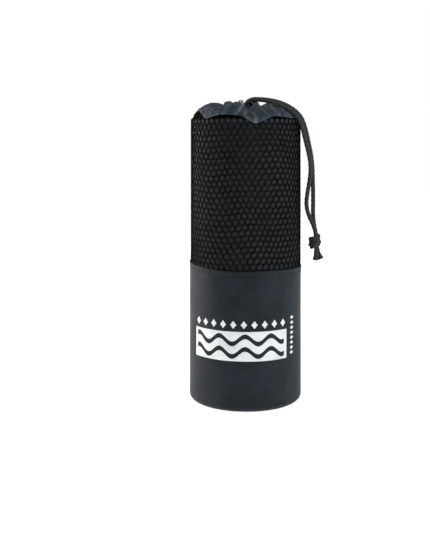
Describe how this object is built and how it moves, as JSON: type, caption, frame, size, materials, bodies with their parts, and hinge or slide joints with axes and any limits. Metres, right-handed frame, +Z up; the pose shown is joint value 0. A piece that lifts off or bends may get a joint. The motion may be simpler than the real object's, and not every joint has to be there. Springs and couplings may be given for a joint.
{
  "type": "quick-dry towel in drawstring pouch",
  "caption": "Rolled quick-dry towel in an upright round pouch with a woven lower sleeve, net upper half, gathered mouth and hanging drawcord.",
  "frame": {"origin": "centre of the pouch's underside, on the ground", "axes": "+Z up along the roll, -Y towards the printed front, +X to the side where the drawcord hangs"},
  "size_m": [0.0935, 0.0786, 0.2094],
  "materials": {
    "woven_cloth": "matte plain-woven polyester",
    "seam_tape": "woven tape",
    "net": "knitted hexagonal net",
    "casing_cloth": "slightly glossy woven polyester",
    "thread": "sewing thread",
    "drawcord": "braided round cord",
    "towel_cloth": "brushed microfibre",
    "towel_thread": "overlock thread",
    "loop_webbing": "narrow woven webbing",
    "print": "flat white ink"
  },
  "bodies": {
    "pouch": {"base_disc": "woven_cloth", "base_seam_binding": "seam_tape", "lower_sleeve": "woven_cloth", "sleeve_side_seam": "woven_cloth", "net_sleeve": "net", "net_side_seam": "net", "waist_tape": "seam_tape", "waist_stitching": "thread", "mouth_tape": "seam_tape", "drawcord_front": "drawcord", "drawcord_back": "drawcord", "cord_knot": "drawcord", "cord_tail_1": "drawcord", "cord_tail_2": "drawcord"},
    "towel": {"towel_roll": "towel_cloth", "towel_edge_stitching": "towel_thread", "hang_loop": "loop_webbing"},
    "mouth_1": {"gather_1": "casing_cloth", "drawcord_run_1": "drawcord"},
    "mouth_2": {"gather_2": "casing_cloth", "drawcord_run_2": "drawcord"},
    "mouth_3": {"gather_3": "casing_cloth", "drawcord_run_3": "drawcord"},
    "mouth_4": {"gather_4": "casing_cloth", "drawcord_run_4": "drawcord"},
    "mouth_5": {"gather_5": "casing_cloth", "drawcord_run_5": "drawcord"},
    "mouth_6": {"gather_6": "casing_cloth", "drawcord_run_6": "drawcord"},
    "mouth_7": {"gather_7": "casing_cloth", "drawcord_run_7": "drawcord"}
  },
  "joints": [
    {"name": "towel_slide", "type": "slide", "parent": "pouch", "child": "towel", "axis": [0, 0, 1], "range_m": [0, 0.225]},
    {"name": "mouth_open", "type": "hinge", "parent": "pouch", "child": "mouth_1", "pos_m": [0.01892, -0.03249, 0.1954], "axis": [0.8641, 0.5032, 0], "range_deg": [0, 66], "deforming": ["gather_1", "drawcord_run_1", "drawcord_front", "drawcord_back"]},
    {"name": "mouth_open_2", "type": "hinge", "parent": "pouch", "child": "mouth_2", "pos_m": [0.0372, -0.00547, 0.1954], "axis": [0.1453, 0.9894, 0], "range_deg": [0, 66], "deforming": ["gather_2", "drawcord_run_2"]},
    {"name": "mouth_open_3", "type": "hinge", "parent": "pouch", "child": "mouth_3", "pos_m": [0.02747, 0.02568, 0.1954], "axis": [-0.6829, 0.7305, 0], "range_deg": [0, 66], "deforming": ["gather_3", "drawcord_run_3"]},
    {"name": "mouth_open_4", "type": "hinge", "parent": "pouch", "child": "mouth_4", "pos_m": [-0.00295, 0.03748, 0.1954], "axis": [-0.9969, -0.0785, 0], "range_deg": [0, 66], "deforming": ["gather_4", "drawcord_run_4"]},
    {"name": "mouth_open_5", "type": "hinge", "parent": "pouch", "child": "mouth_5", "pos_m": [-0.03115, 0.02106, 0.1954], "axis": [-0.5602, -0.8283, 0], "range_deg": [0, 66], "deforming": ["gather_5", "drawcord_run_5"]},
    {"name": "mouth_open_6", "type": "hinge", "parent": "pouch", "child": "mouth_6", "pos_m": [-0.03589, -0.01122, 0.1954], "axis": [0.2983, -0.9545, 0], "range_deg": [0, 66], "deforming": ["gather_6", "drawcord_run_6"]},
    {"name": "mouth_open_7", "type": "hinge", "parent": "pouch", "child": "mouth_7", "pos_m": [-0.01361, -0.03505, 0.1954], "axis": [0.9322, -0.3619, 0], "range_deg": [0, 66], "deforming": ["gather_7", "drawcord_run_7"]}
  ],
  "couplings": [
    {"joint": "mouth_open_2", "follows": "mouth_open", "ratio": 1},
    {"joint": "mouth_open_3", "follows": "mouth_open", "ratio": 1},
    {"joint": "mouth_open_4", "follows": "mouth_open", "ratio": 1},
    {"joint": "mouth_open_5", "follows": "mouth_open", "ratio": 1},
    {"joint": "mouth_open_6", "follows": "mouth_open", "ratio": 1},
    {"joint": "mouth_open_7", "follows": "mouth_open", "ratio": 1}
  ]
}
